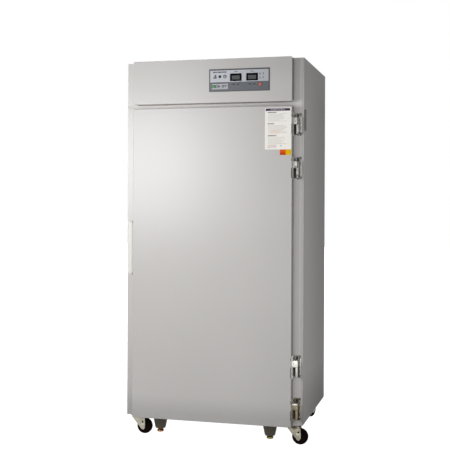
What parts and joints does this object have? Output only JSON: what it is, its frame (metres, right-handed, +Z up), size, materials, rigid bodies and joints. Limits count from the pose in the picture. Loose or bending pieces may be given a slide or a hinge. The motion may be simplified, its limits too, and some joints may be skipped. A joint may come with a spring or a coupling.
{
  "type": "dry heat sterilizer",
  "caption": "Upright floor-standing dry heat sterilizer cabinet with one hinged insulated door, control header, wire shelves, swivel casters and levelling feet.",
  "frame": {"origin": "on the floor, under the middle of the cabinet with its door shut", "axes": "+X to the right as seen from the front, +Y to the rear, +Z up"},
  "size_m": [0.936, 0.7655, 1.942],
  "materials": {
    "cabinet_paint": "satin",
    "stainless": "satin",
    "zinc_steel": "satin",
    "mineral_wool": "matte",
    "silicone": "matte",
    "fascia_plastic": "satin",
    "display_plastic": "gloss",
    "display_glass": "gloss",
    "key_plastic": "matte",
    "start_plastic": "satin",
    "rocker_plastic": "gloss",
    "handle_plastic": "satin",
    "hinge_chrome": "polished",
    "screw_steel": "satin",
    "circuit_board": "satin",
    "gear_plastic": "matte",
    "motor_cast": "satin",
    "card": "matte",
    "tag_film": "satin",
    "plate_aluminium": "satin",
    "wheel_rubber": "satin",
    "sleeve_plastic": "matte",
    "pad_brass": "satin"
  },
  "bodies": {
    "cabinet": {"left_side_panel": "cabinet_paint", "right_side_panel": "cabinet_paint", "top_panel": "cabinet_paint", "rear_panel": "cabinet_paint", "base_pan": "cabinet_paint", "front_frame": "cabinet_paint", "chamber_liner": "stainless", "cabinet_insulation": "mineral_wool", "shelf_pilasters": "stainless", "shelf_runners": "stainless", "ceiling_baffle": "stainless", "heater_element": "stainless", "fan_motor": "motor_cast", "sensor_probe": "stainless", "header_cover": "cabinet_paint", "control_fascia": "fascia_plastic", "display_modules": "display_plastic", "display_windows": "display_glass", "control_board": "circuit_board", "control_gear": "gear_plastic", "cable_bushing": "gear_plastic", "exhaust_duct": "stainless", "hinge_frame_leaves": "hinge_chrome", "hinge_pins": "hinge_chrome", "caster_plates": "zinc_steel", "caster_bolts": "screw_steel", "foot_sleeves": "sleeve_plastic", "rating_plate": "plate_aluminium", "cabinet_screws": "screw_steel", "wire_shelf_1": "stainless", "wire_shelf_2": "stainless", "wire_shelf_3": "stainless", "wire_shelf_4": "stainless"},
    "door": {"door_skin": "cabinet_paint", "door_liner": "stainless", "door_insulation": "mineral_wool", "door_gasket": "silicone", "door_handle": "handle_plastic", "hinge_door_leaves": "hinge_chrome", "door_screws": "screw_steel", "instruction_card": "card", "colour_tag": "tag_film"},
    "fan": {"fan_impeller": "stainless"},
    "damper": {"vent_damper": "zinc_steel"},
    "start_button": {"start_button": "start_plastic"},
    "power_rocker": {"power_rocker": "rocker_plastic"},
    "left_foot": {"foot_pad_left": "pad_brass"},
    "right_foot": {"foot_pad_right": "pad_brass"},
    "setting_key_1": {"setting_key_1": "key_plastic"},
    "setting_key_2": {"setting_key_2": "key_plastic"},
    "setting_key_3": {"setting_key_3": "key_plastic"},
    "setting_key_4": {"setting_key_4": "key_plastic"},
    "fork_front_left": {"caster_fork_front_left": "zinc_steel"},
    "wheel_front_left": {"caster_wheel_front_left": "wheel_rubber"},
    "fork_front_right": {"caster_fork_front_right": "zinc_steel"},
    "wheel_front_right": {"caster_wheel_front_right": "wheel_rubber"},
    "fork_rear_left": {"caster_fork_rear_left": "zinc_steel"},
    "wheel_rear_left": {"caster_wheel_rear_left": "wheel_rubber"},
    "fork_rear_right": {"caster_fork_rear_right": "zinc_steel"},
    "wheel_rear_right": {"caster_wheel_rear_right": "wheel_rubber"}
  },
  "joints": [
    {"name": "door_swing", "type": "hinge", "parent": "cabinet", "child": "door", "pos_m": [0.431, -0.346, 0.88], "axis": [0, 0, 1], "range_deg": [0, 115]},
    {"name": "fan_spin", "type": "hinge", "parent": "cabinet", "child": "fan", "pos_m": [0, -0.02, 1.6], "axis": [0, 0, 1], "continuous": true},
    {"name": "damper_turn", "type": "hinge", "parent": "cabinet", "child": "damper", "pos_m": [0.25, 0.18, 1.91], "axis": [-1, 0, 0], "range_deg": [0, 90]},
    {"name": "swivel_front_left", "type": "hinge", "parent": "cabinet", "child": "fork_front_left", "pos_m": [-0.405, -0.284, 0.088], "axis": [0, 0, 1], "continuous": true},
    {"name": "wheel_roll_front_left", "type": "hinge", "parent": "fork_front_left", "child": "wheel_front_left", "pos_m": [-0.371, -0.284, 0.04], "axis": [0, 1, 0], "continuous": true},
    {"name": "swivel_front_right", "type": "hinge", "parent": "cabinet", "child": "fork_front_right", "pos_m": [0.405, -0.284, 0.088], "axis": [0, 0, 1], "continuous": true},
    {"name": "wheel_roll_front_right", "type": "hinge", "parent": "fork_front_right", "child": "wheel_front_right", "pos_m": [0.439, -0.284, 0.04], "axis": [0, 1, 0], "continuous": true},
    {"name": "swivel_rear_left", "type": "hinge", "parent": "cabinet", "child": "fork_rear_left", "pos_m": [-0.405, 0.341, 0.088], "axis": [0, 0, 1], "continuous": true},
    {"name": "wheel_roll_rear_left", "type": "hinge", "parent": "fork_rear_left", "child": "wheel_rear_left", "pos_m": [-0.39793, 0.30774, 0.04], "axis": [0.9781, 0.2079, 0], "continuous": true},
    {"name": "swivel_rear_right", "type": "hinge", "parent": "cabinet", "child": "fork_rear_right", "pos_m": [0.405, 0.341, 0.088], "axis": [0, 0, 1], "continuous": true},
    {"name": "wheel_roll_rear_right", "type": "hinge", "parent": "fork_rear_right", "child": "wheel_rear_right", "pos_m": [0.39226, 0.30948, 0.04], "axis": [0.9272, -0.3746, 0], "continuous": true},
    {"name": "left_foot_screw", "type": "slide", "parent": "cabinet", "child": "left_foot", "axis": [0, 0, -1], "range_m": [-0.003, 0.015]},
    {"name": "right_foot_screw", "type": "slide", "parent": "cabinet", "child": "right_foot", "axis": [0, 0, -1], "range_m": [0, 0.018]},
    {"name": "start_press", "type": "slide", "parent": "cabinet", "child": "start_button", "axis": [0, 1, 0], "range_m": [0, 0.002], "stiffness_N_per_m": 500},
    {"name": "power_rock", "type": "hinge", "parent": "cabinet", "child": "power_rocker", "pos_m": [0.017, -0.3775, 1.763], "axis": [0, 0, 1], "range_deg": [-6, 6]},
    {"name": "setting_key_1_press", "type": "slide", "parent": "cabinet", "child": "setting_key_1", "axis": [0, 1, 0], "range_m": [0, 0.001], "stiffness_N_per_m": 500},
    {"name": "setting_key_2_press", "type": "slide", "parent": "cabinet", "child": "setting_key_2", "axis": [0, 1, 0], "range_m": [0, 0.001], "stiffness_N_per_m": 500},
    {"name": "setting_key_3_press", "type": "slide", "parent": "cabinet", "child": "setting_key_3", "axis": [0, 1, 0], "range_m": [0, 0.001], "stiffness_N_per_m": 500},
    {"name": "setting_key_4_press", "type": "slide", "parent": "cabinet", "child": "setting_key_4", "axis": [0, 1, 0], "range_m": [0, 0.001], "stiffness_N_per_m": 500}
  ]
}
